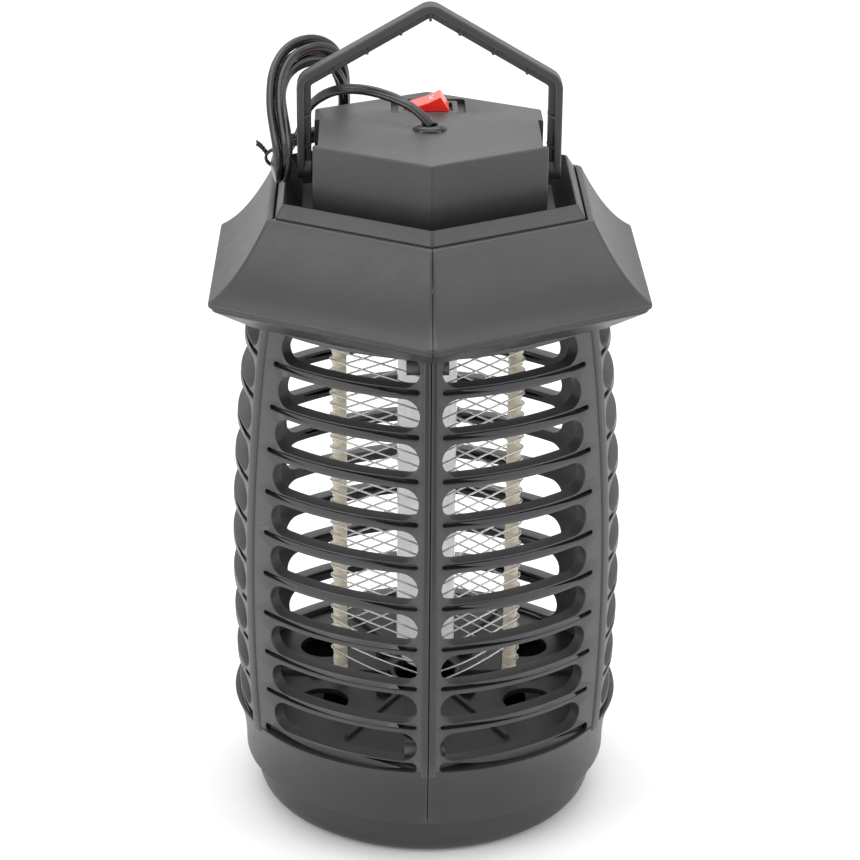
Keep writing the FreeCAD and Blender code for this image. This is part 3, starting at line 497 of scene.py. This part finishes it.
# ---- grommet round the cord outlet
grommet_low, grommet_high = span("cord_grommet")
centre = ((grommet_low.x + grommet_high.x) / 2, (grommet_low.y + grommet_high.y) / 2)
reach = (grommet_high.x - grommet_low.x) / 2
bm = bmesh.new()
lathe(bm, [(3.7, 376), (4.6, 376), (4.7, box_top), (reach, box_top + 0.02), (reach, box_top + 0.5),
           (reach - 0.3, box_top + 1.1), (reach - 1.3, box_top + 1.9), (reach - 2.7, box_top + 2.5),
           (reach - 3.4, box_top + 2.6), (4.4, box_top + 2.3), (3.9, box_top + 1.2)], centre, 48)
finish("cord_outlet_ring", bm, CORD, "housing", ["cord_grommet"], angle=40)

# ---- switch: bezel, well and rocker
def frame_outline(inset, corner):
    """The bezel's outline, set in from its edge."""
    return box_outline((switch_low.x + inset, switch_high.x - inset),
                       (switch_low.y + inset, switch_high.y - inset), corner)


rocker_low, rocker_high = span("rocker")
cheeks = (rocker_low.y + 1.1, rocker_high.y - 1.1)
mouth = box_outline((-13.0, 13.0), (cheeks[0] - 0.7, cheeks[1] + 0.7), 0.8)
well = box_outline((-12.7, 12.7), (cheeks[0] - 0.4, cheeks[1] + 0.4), 0.6)
top, well_floor = switch_high.z, pocket_floor - 9
bm = bmesh.new()
skin(bm, [[Vector((x, y, z)) for x, y in outline] for outline, z in
          [(frame_outline(0, 1.6), pocket_floor + 0.02), (frame_outline(0, 1.6), top - 0.4),
           (frame_outline(0.5, 1.2), top), (mouth, top), (well, top - 0.4), (well, well_floor)]])
bm.faces.new([bm.verts.new((x, y, well_floor)) for x, y in well])
finish("switch_bezel", bm, SWITCH, "housing", ["switch_body"], angle=35)

# the rocker's side view: a belly in the well, a raised end and a dished face that slopes away
FACE_TOP, FACE_LENGTH, FACE_DROP, DISH = (5.9, 9.3), 15.6, 5.7, 0.7
profile = [(-11.4, -1), (-9.5, -3.6), (-6, -6), (6, -6), (9.3, -3.6), (11.1, -1), (11.1, 2.4)]
profile += [(11.1 - 4.3 * t ** 0.9, 2.6 + 6.6 * t) for t in (0.03, 0.5, 0.93)]
profile += [(6.5, 9.36), FACE_TOP]
for k in range(1, 12):
    t = k / 12
    profile.append((FACE_TOP[0] - FACE_LENGTH * t, FACE_TOP[1] - FACE_DROP * t - DISH * 4 * t * (1 - t)))
profile += [(-10.0, 3.5), (-10.6, 3.1), (-11.4, 1.8)]
bm = bmesh.new()
prism(bm, [(x, pocket_floor + z) for x, z in profile], cheeks[0], cheeks[1], axis="Y")
finish("rocker_button", bm, RED, "rocker", ["rocker"], bevel=0.45, angle=40, steps=3)

# the printed ring near the raised end
bm = bmesh.new()
slope = math.atan2(FACE_DROP, FACE_LENGTH)
spot = Vector((2.4, (cheeks[0] + cheeks[1]) / 2, pocket_floor + 7.45))
loops = []
for wide, lift in ((1.7, 0), (1.7, 0.12), (2.3, 0.12), (2.3, 0)):
    loops.append([Vector((x * 0.8, y * 1.15, lift)) for x, y in ring_section(wide, 40)])
skin(bm, loops, wrap_rows=True)
bm.transform(Matrix.Translation(spot) @ Matrix.Rotation(-slope, 4, "Y"))
finish("rocker_ring_mark", bm, MARK, "rocker", angle=50)


# ---- handle: a T section bent round the shoulders and the apex, with ribs
handle_high = span("handle")[1]
half_width, apex = handle_high.x, handle_high.z
PIVOT, SHOULDER, HANDLE_BEND = 357.5, 406.2, 9.5
EYE_RADIUS, PIN_RADIUS, BAR = 5.5, 2.8, 7.3
peak = apex + 1.3
corners = [(Vector((half_width, 0, PIVOT)), 0), (Vector((half_width, 0, SHOULDER)), HANDLE_BEND),
           (Vector((0, 0, peak)), HANDLE_BEND), (Vector((-half_width, 0, SHOULDER)), HANDLE_BEND),
           (Vector((-half_width, 0, PIVOT)), 0)]
path = []
for k, (spot, radius) in enumerate(corners):
    if not radius:
        path.append(spot)
        continue
    first, second = (spot - corners[k - 1][0]).normalized(), (corners[k + 1][0] - spot).normalized()
    bend = first.angle(second)
    inward = (second - first).normalized()
    centre = spot + inward * radius / math.cos(bend / 2)
    for step in range(11):
        angle = -bend / 2 + bend * step / 10
        path.append(centre + Quaternion((0, 1, 0), -angle) @ (-inward) * radius)
section = [(0, -4.5), (0.15, -5.0), (0.45, -5.35), (0.9, -5.5), (3.5, -5.5), (3.9, -5.2),
           (4.0, -4.8), (4.0, -3.0), (4.2, -2.5), (4.7, -2.3), (6.9, -2.3), (BAR, -1.9)]
section += [(a, -b) for a, b in reversed(section)]
bm = bmesh.new()
loops = []
for k, spot in enumerate(path):
    before, after = path[max(k - 1, 0)], path[min(k + 1, len(path) - 1)]
    tangent = (after - before).normalized()
    inward = Vector((-tangent.z, 0, tangent.x))
    loops.append([spot + inward * a + Vector((0, b, 0)) for a, b in section])
capped(bm, loops)


def rib(spot, inward, along, near, far, wide_far, wide_near=5.1, thick=1.4):
    """A thin gusset in the hollow of the T, across the bar."""
    faces = []
    for shift in (-thick / 2, thick / 2):
        faces.append([spot + inward * a + Vector((0, b, 0)) + along * shift for a, b in
                      [(near, -wide_near), (near, wide_near), (far, wide_far), (far, -wide_far)]])
    capped(bm, faces)


def pivot_ring(radius, x):
    """A circle round the pivots' axis."""
    return [Vector((x, y, z)) for y, z in ring_section(radius, 28, (0, PIVOT))]


rise = (peak - SHOULDER) / half_width
arm = Vector((-1, 0, rise)).normalized()
for side in (-1, 1):
    along = Vector((side * arm.x, 0, arm.z))
    inward = Vector((side * -arm.z, 0, arm.x))
    for x in (15.7, 32.9, 50.4):
        spot = Vector((side * x, 0, peak - rise * x)) - along * 3.2
        rib(spot, inward, along, 3.6, 7.7, 3.2)
    for z in (368, 384):
        rib(Vector((side * half_width, 0, z)), Vector((-side, 0, 0.35)), UP, 3.6, 7.4, 3.4)
    inner_face = half_width - BAR
    capped(bm, [pivot_ring(radius, side * x) for radius, x in
                [(EYE_RADIUS, half_width - 0.02), (EYE_RADIUS, inner_face),
                 (PIN_RADIUS, inner_face - 0.02), (PIN_RADIUS, flat - 4)]])
rib(Vector((0, 0, apex - 1.2)), -UP, Vector((1, 0, 0)), 3.0, 7.6, 3.2)
finish("folding_handle", bm, SHELL, "handle", ["handle"], bevel=0.3, angle=36)


# ---- canopy: concave flared roof in two halves, with rounded ridges
canopy_low, canopy_high = span("canopy_right")
eave, lip_level, eave_low = canopy_high.y, canopy_high.z, canopy_low.z
LIP, SAG, SKIN, SEAM_GAP = 95.4, 5.3, 2.6, 0.36
eave_level = eave_low + 2.3


def roof_point(t, inset=0.0, drop=0.0):
    """Radius and level on the roof, from its lip to its eave as t goes from 0 to 1."""
    radius = LIP + (eave - LIP) * t - inset
    return radius, lip_level - (lip_level - eave_level) * t - SAG * 4 * t * (1 - t) - drop


for name, side in (("left", -1), ("right", 1)):
    bm = bmesh.new()
    rings = [(rim + 1.0, lip_level - 3.5, 2.0), (rim + 1.0, lip_level - 0.5, 2.0),
             (rim + 1.5, lip_level - 0.05, 2.0), (LIP - 0.9, lip_level - 0.05, 2.2)]
    for k in range(13):
        t = max(0.012, k / 12)
        r, z = roof_point(t)
        rings.append((r, z, 2.4 + 2.6 * t))
    r, z = roof_point(1)
    rings[-1] = (r - 0.5, z + 0.25, 5.0)
    rings += [(r - 0.05, z - 0.25, 5.2), (r, z - 0.7, 5.2), (r, eave_low + 0.4, 5.2),
              (r - 0.4, eave_low, 5.0), (r - SKIN + 0.4, eave_low, 4.0), (r - SKIN, eave_low + 0.5, 4.0)]
    for k in range(11, -1, -1):
        r, z = roof_point(k / 12, SKIN, 1.6)
        rings.append((max(r, rim + 1.2), z - (0.9 if k == 0 else 0), 1.5 + 1.5 * k / 12))
    skin(bm, [hex_loop(r, z, c, 6) for r, z, c in rings], wrap_rows=True)
    keep_side(bm, side, SEAM_GAP)
    finish("canopy_half_" + name, bm, SHELL, "housing", ["canopy_" + name],
           bevel=0.25, angle=38)


# ---- cage: barrel walls of stadium slots between posts, soffit above and band below
POST, BARREL, BARREL_MIDDLE = 109.6, 1082.0, 133.7
SLOT_LOW, PITCH, SLOT_HALF, ROWS = 64.8, 23.18, 8.5, 10
SLOT_TOP, SOFFIT, WALL_TOP = 287.4, 289.6, 289.8
WALL, GROOVE, PROUD, FLATTER = 8.5, 4.0, 0.5, 3.4
GROOVE_ABOVE, GROOVE_HALF, GROOVE_PAST = 12.49, 1.3, 5.5
BAND_LEVEL, BAND_RADIUS, BAND_FOOT_RADIUS, BAND_FOOT = 58.0, 106.3, 100.3, 24.0
POST_HALF, POST_FOOT, POST_TOP = 3.8, 56, SOFFIT + 0.3
BOSS_RADIUS, SHELL_GAP = 4.2, 0.4
EDGE = POST / 2 - 2.6
CELL_HALF = PITCH / 2


def post_radius(z):
    """Radius of the posts' faces at a level."""
    return POST - (z - BARREL_MIDDLE) ** 2 / (2 * BARREL)


def wall_reach(sigma, z):
    """Distance along a face's normal and tangent of its outer surface; sigma runs over the
    face at the barrel's widest level, from -POST / 2 to POST / 2."""
    p = post_radius(z)
    s = sigma * p / POST
    bulge = (1 - COS30) * p - FLATTER
    bow = ((p / 2) ** 2 + bulge ** 2) / (2 * bulge)
    return p * COS30 + math.sqrt(bow ** 2 - s ** 2) - (bow - bulge), s


def on_wall(face, sigma, z, depth):
    """A point at a depth below a wall's outer surface."""
    out, s = wall_reach(sigma, z)
    out -= depth
    angle = math.radians(face)
    return Vector((out * math.cos(angle) - s * math.sin(angle),
                   out * math.sin(angle) + s * math.cos(angle), z))


def slot_outline(near, far, grow, straight=12, bend=14):
    """Points round a stadium from near to far, grown outward. With grow None, the points where
    the same rays meet the border of the slot's cell."""
    points = []
    height = CELL_HALF if grow is None else SLOT_HALF + grow
    for end, stop, sign in ((far - SLOT_HALF, near + SLOT_HALF, 1), (near + SLOT_HALF, far - SLOT_HALF, -1)):
        limit = EDGE - sign * end
        to_corner = round(math.degrees(math.atan2(CELL_HALF, limit)), 4)
        for angle in sorted({-90 + 180 * k / bend for k in range(bend + 1)} | {to_corner, -to_corner}):
            a = math.radians(angle)
            ray = height
            if grow is None and abs(angle) < 89.9:
                ray = min(limit / math.cos(a), height / max(abs(math.sin(a)), 1e-6))
            points.append((end + sign * ray * math.cos(a), sign * ray * math.sin(a)))
        for k in range(1, straight):
            points.append((end + (stop - end) * k / straight, sign * height))
    return points


def grille_face(bm, face, near, far):
    """One wall of the cage: a closed slab with a column of round-edged slots."""
    for row in range(ROWS):
        centre = SLOT_LOW + SLOT_HALF + PITCH * row
        layers = [(None, WALL, WALL_TOP), (0.0, WALL, SLOT_TOP), (0.0, PROUD + 0.9, SLOT_TOP),
                  (0.25, PROUD + 0.25, SLOT_TOP + 0.2), (0.7, PROUD, SLOT_TOP + 0.5),
                  (None, PROUD, WALL_TOP)]
        loops = []
        for grow, depth, ceiling in layers:
            loop = []
            for sigma, z in slot_outline(near, far, grow):
                level = min(centre + z, ceiling)
                if row == 0 and grow is None and z < 0.01 - CELL_HALF:
                    level = BAND_LEVEL - 1
                loop.append(on_wall(face, sigma, level, depth))
            loops.append(loop)
        rings = skin(bm, loops)
        first, last = rings[0], rings[-1]
        for k in range(len(first)):
            following = (k + 1) % len(first)
            a, b = first[k].co, first[following].co
            level = abs(a.z - b.z) < 1e-4
            bottom = row == 0 and level and a.z < centre
            top_edge = row == ROWS - 1 and level and a.z > centre
            if not level or bottom or top_edge:
                bm.faces.new((first[k], first[following], last[following], last[k]))


def groove(bm, face, near, far, low, high):
    """A cutter for one rounded groove of a cage wall, with a slight chamfer at its mouth."""
    radius = min((high - low) / 2, 2.6)
    loops = []
    for depth, grow in ((GROOVE, -0.25), (PROUD + 0.3, 0.0), (PROUD - 0.02, 0.3), (PROUD - 2.5, 0.3)):
        outline = []
        bend = 10
        corners = [(far - radius, high - radius), (near + radius, high - radius),
                   (near + radius, low + radius), (far - radius, low + radius)]
        for k, (s, z) in enumerate(corners):
            for step in range(bend + 1):
                angle = math.radians(90 * k + 90 * step / bend)
                outline.append((s + (radius + grow) * math.cos(angle), z + (radius + grow) * math.sin(angle)))
            if k in (0, 2):
                start, stop = s, corners[k + 1][0]
                edge = outline[-1][1]
                outline += [(start + (stop - start) * n / 16, edge) for n in range(1, 16)]
        loops.append([on_wall(face, s, z, depth) for s, z in outline])
    capped(bm, loops)


def post(bm, angle, section, low, high, steps=24):
    """A corner post swept up the barrel; the section is a list of (across, depth) at a level."""
    a = math.radians(angle)
    out, across = Vector((math.cos(a), math.sin(a), 0)), Vector((-math.sin(a), math.cos(a), 0))
    loops = []
    for k in range(steps + 1):
        z = low + (high - low) * k / steps
        loops.append([out * (post_radius(z) - d) + across * w + UP * z for w, d in section(z)])
    capped(bm, loops)


def side_post(z):
    """A side post's section, the same at every level."""
    right = [(1.5, 0), (3.0, 0.12), (3.55, 0.45), (POST_HALF, 1.0), (POST_HALF, WALL)]
    return [(-w, d) for w, d in reversed(right)] + right


def seam_post(turned):
    """Half of a seam post, with a shallow channel that fades out below the middle."""
    def section(z):
        deep = 0.75 * min(1, max(0, (z - 150) / 30))
        points = [(0.18, WALL), (0.18, 0.5), (0.4, 0.12), (0.75, 0.0), (1.15, 0.0), (1.3, deep),
                  (2.75, deep), (2.9, 0.02), (3.3, 0.1), (3.65, 0.4), (POST_HALF, 0.9), (POST_HALF, WALL)]
        return [(turned * w, d) for w, d in points]
    return section


def band_radius(z):
    """The band's flare: nearly upright at its foot and out to the posts at its top."""
    up = max(0, (z - BAND_FOOT) / (BAND_LEVEL - BAND_FOOT))
    return BAND_FOOT_RADIUS + (BAND_RADIUS - BAND_FOOT_RADIUS) * up ** 2.6


for name, side in (("left", -1), ("right", 1)):
    bm = bmesh.new()
    seam_end, far_end, flank_end = POST / 2 - 6.3, POST / 2 - 17, POST / 2 - 6.3
    faces = [(0, -flank_end, flank_end, 2.2, 2.2), (60, -far_end, seam_end, GROOVE_PAST, 0),
             (300, -seam_end, far_end, 0, GROOVE_PAST)]
    if side < 0:
        faces = [(180 - face, -far, -near, past_far, past_near)
                 for face, near, far, past_near, past_far in faces]
    tools = bmesh.new()
    for face, near, far, past_near, past_far in faces:
        grille_face(bm, face, near, far)
        for row in range(ROWS - 1):
            level = SLOT_LOW + SLOT_HALF + PITCH * row + GROOVE_ABOVE
            groove(tools, face, near - past_near, far + past_far, level - GROOVE_HALF, level + GROOVE_HALF)
        groove(tools, face, near - past_near * 1.6, far + past_far * 1.6, BAND_LEVEL + 0.2, SLOT_LOW - 1.0)
    bm = carved(bm, tools, "MANIFOLD")
    for angle in (30, 330) if side > 0 else (150, 210):
        post(bm, angle, side_post, POST_FOOT, POST_TOP)
    post(bm, 270, seam_post(side), POST_FOOT, POST_TOP)
    post(bm, 90, seam_post(-side), POST_FOOT, POST_TOP)
    # bosses behind the seam posts: two at the front and one for the screw at the back
    front_reach = 9.0 if side > 0 else -12.4
    for ring, level, radius, reach in ((-97.0, 68.0, BOSS_RADIUS, front_reach),
                                       (-89.3, 281.3, BOSS_RADIUS, front_reach), (96, 170, 4, side * 8)):
        prism(bm, ring_section(radius, 24, (ring, level)), min(side * 0.2, reach), max(side * 0.2, reach),
              axis="X")
    finish("cage_half_" + name, bm, SHELL, "housing", ["cage_" + name], angle=34)

    # the band, its inner ledge and the soffit
    bm = bmesh.new()
    levels = [(BAND_LEVEL + 0.8, 2.6), (BAND_LEVEL + 0.75, 1.2), (BAND_LEVEL + 0.5, 0.4),
              (BAND_LEVEL, 0.0)]
    for k in range(1, 13):
        levels.append((BAND_LEVEL + (BAND_FOOT + 0.6 - BAND_LEVEL) * k / 12, 0))
    levels += [(24.15, 0.15), (24.0, 0.6), (24.0, 3.6), (24.6, 4.0), (34, 4.0), (55.8, 8.0),
               (56.0, 14.3), (59.0, 15.3), (59.2, 8.5), (58.8, 8.4)]
    skin(bm, [circle(band_radius(z) - inset, z, count=120) for z, inset in levels], wrap_rows=True)
    keep_side(bm, side, SHELL_GAP)
    finish("cage_band_" + name, bm, SHELL, "housing", bevel=0.15, angle=38)

    bm = bmesh.new()
    soffit_rings = [(99, 0, 60), (107.7, 0, 12), (108.6, 0.2, 12), (127.6, 11.2, 7), (128.2, 11.8, 7),
                    (128.2, 13.0, 7), (127.6, 13.4, 7), (108, 2.6, 10), (99, 2.4, 60)]
    skin(bm, [hex_loop(r, SOFFIT + z, c, 8) for r, z, c in soffit_rings], wrap_rows=True)
    keep_side(bm, side, SHELL_GAP)
    finish("soffit_" + name, bm, SHELL, "housing", bevel=0.2, angle=38)


# ---- catch tray with its bayonet neck
neck_top = span("catch_tray")[1].z
profile = [(0.01, 1.2), (60, 1.2), (62, 0.2), (66, 0.0), (82.6, 0.0), (85.6, 0.4), (88.3, 1.4),
           (90.5, 3.0), (92.2, 5.3), (93.3, 8.3), (93.9, 12.0), (94.3, 17.5), (94.4, 22.5),
           (94.2, 23.1), (93.7, 23.3), (88.2, 23.3), (88.0, 23.6), (88.0, neck_top - 0.5),
           (87.5, neck_top), (86.0, neck_top), (85.5, neck_top - 0.5), (85.5, 10), (79, 3.0),
           (76, 2.6), (0.01, 2.6)]
bm = bmesh.new()
lathe(bm, profile, count=128, closed=False)
for number in range(3):
    middle_angle = math.radians(30 + 120 * number)
    loops = []
    for step in range(9):
        angle = middle_angle + math.radians(-10 + 20 * step / 8)
        loops.append([Vector((r * math.cos(angle), r * math.sin(angle), z)) for r, z in
                      [(87, 36.1), (91.3, 36.1), (91.5, 36.5), (91.5, 38.6), (91.2, 38.9), (87, 38.9)]])
    capped(bm, loops)
finish("catch_tray_cup", bm, SHELL, "tray", ["catch_tray"], angle=40)


# ---- chamber: notched insulators, two interleaved windings, lamp and floor
INSULATOR_PITCH = 6.4
for name in ("front", "right", "back", "left"):
    low, high = span("insulator_" + name)
    centre = ((low.x + high.x) / 2, (low.y + high.y) / 2)
    radius = (high.x - low.x) / 2
    profile = [(0.01, low.z), (radius, low.z), (radius, low.z + 3)]
    z = low.z + 6.0
    while z < high.z - 6:
        profile += [(radius, z - 1.0), (radius - 0.25, z - 0.8), (radius - 0.75, z),
                    (radius - 0.25, z + 0.8), (radius, z + 1.0)]
        z += INSULATOR_PITCH
    profile += [(radius, high.z - 3), (radius, high.z), (0.01, high.z)]
    bm = bmesh.new()
    lathe(bm, profile, centre, 24, closed=False)
    finish("insulator_post_" + name, bm, IVORY, "housing", ["insulator_" + name],
           angle=50)

WIRE_RADIUS, LAP, WRAP_RADIUS, LOOSE_TURNS = 0.55, 12.8, 4.3, 2


def flat_arc(radius, angle, z=0.0):
    """A point at a radius and an angle about the axis."""
    return Vector((radius * math.cos(angle), radius * math.sin(angle), z))


for name in ("live", "return"):
    low, high = span("grid_" + name)
    ring = high.x - WIRE_RADIUS - 4.0
    count = round((high.z - low.z) / LAP) + 1
    points = []
    for turn in range(count):
        for k in range(4):
            level = low.z + WIRE_RADIUS + LAP * (turn + k / 4)
            if level > high.z:
                break
            angle = math.radians(90 * k)
            for step in range(-3, 4):
                points.append(flat_arc(ring, angle, level)
                              + flat_arc(WRAP_RADIUS, angle + math.radians(15 * step), 0.08 * step))
            slack = random.uniform(0, 0.5)
            if turn < LOOSE_TURNS:
                slack = random.uniform(0.8, 3.4)
            angle += math.radians(45)
            start = points[-1]
            stop = flat_arc(ring, angle + math.pi / 4, level + LAP / 4) + flat_arc(WRAP_RADIUS, angle)
            for step in range(1, 6):
                t = step / 6
                sag = 4 * t * (1 - t) * slack
                points.append(start.lerp(stop, t) + flat_arc(0.3 * sag, angle, -sag))
    bm = bmesh.new()
    sweep(bm, points, ring_section(WIRE_RADIUS, 7), UP, pull=0.5)
    finish("winding_" + name, bm, WIRE, "housing", ["grid_" + name], angle=70, weld=0)

# ribs and sockets of the floor plate
plate = span("floor_plate")[1].z
bm = bmesh.new()
for x, y in [(23, 23), (23, -23), (-23, 23), (-23, -23), (61, 0), (-61, 0)]:
    lathe(bm, [(0.01, plate - 0.5), (4.6, plate - 0.5), (4.4, plate + 2.4), (4.0, plate + 2.8),
               (2.2, plate + 2.8), (2.0, plate + 1.2), (0.01, plate + 1.2)], (x, y), 28, closed=False)
lathe(bm, [(17.2, plate - 0.5), (17.2, plate + 2.0), (17.6, plate + 2.3), (19.0, plate + 2.3),
           (19.4, plate + 2.0), (19.4, plate - 0.5)], count=56)
for k in range(6):
    angle = math.radians(60 * k)
    out, across = flat_arc(1, angle), flat_arc(1, angle + math.pi / 2)
    loops = []
    for wide, z in ((1.4, plate - 0.5), (1.1, plate + 1.9)):
        loops.append([out * r + across * w + UP * z
                      for r, w in ((19, -wide), (86, -wide), (86, wide), (19, wide))])
    capped(bm, loops)
finish("floor_plate_ribs", bm, INNER, "housing", bevel=0.25)

# carried-over CAD nodes with better finishes
for node, mat in (("electronics_deck", INNER), ("floor_plate", INNER), ("funnel", SHELL),
                  ("lamp_tube", GLASS), ("lamp_base", BASE_WHITE), ("lamp_socket", BASE_WHITE),
                  ("circuit_board", BOARD),
                  ("lamp_ballast", SWITCH), ("multiplier_block", SWITCH), ("capacitors", CAN),
                  ("board_feet", BASE_WHITE),
                  ("cord_clamp", INNER), ("deck_screws", ZINC), ("housing_screw", ZINC)):
    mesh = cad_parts[node].data
    mesh.materials.clear()
    mesh.materials.append(mat)


# ---- floor, light and sky
bm = bmesh.new()
bm.faces.new([bm.verts.new((x, y, -0.2)) for x, y in box_outline((-4000, 4000), (-4000, 6000))])
mesh = bpy.data.meshes.new("floor")
bm.to_mesh(mesh)
bm.free()
mesh.transform(Matrix.Scale(MM, 4))
paper = material("paper", (0.90, 0.90, 0.90), 0.7, blotch=0.004, grain=0.02, grain_scale=300)
mesh.materials.append(paper)
stage = bpy.data.objects.new("floor", mesh)
bpy.context.scene.collection.objects.link(stage)
stage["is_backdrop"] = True

world = bpy.data.worlds.new("studio")
bpy.context.scene.world = world
world.use_nodes = True
world.node_tree.nodes["Background"].inputs["Color"].default_value = (1, 1, 1, 1)
world.node_tree.nodes["Background"].inputs["Strength"].default_value = 1.0


def lamp(name, spot, size, power, target=(0, 0, 0.2)):
    light = bpy.data.lights.new(name, "AREA")
    light.shape = "RECTANGLE"
    light.size, light.size_y = size
    light.energy = power
    item = bpy.data.objects.new(name, light)
    bpy.context.scene.collection.objects.link(item)
    item.location = spot
    item.rotation_mode = "QUATERNION"
    item.rotation_quaternion = (Vector(target) - Vector(spot)).to_track_quat("-Z", "Y")


lamp("overhead", (0.0, 0.3, 1.9), (1.8, 1.6), 22)
lamp("left", (-1.6, -0.9, 0.9), (0.9, 1.5), 14)
lamp("right", (1.7, -0.6, 0.9), (0.9, 1.5), 11)

low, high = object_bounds()
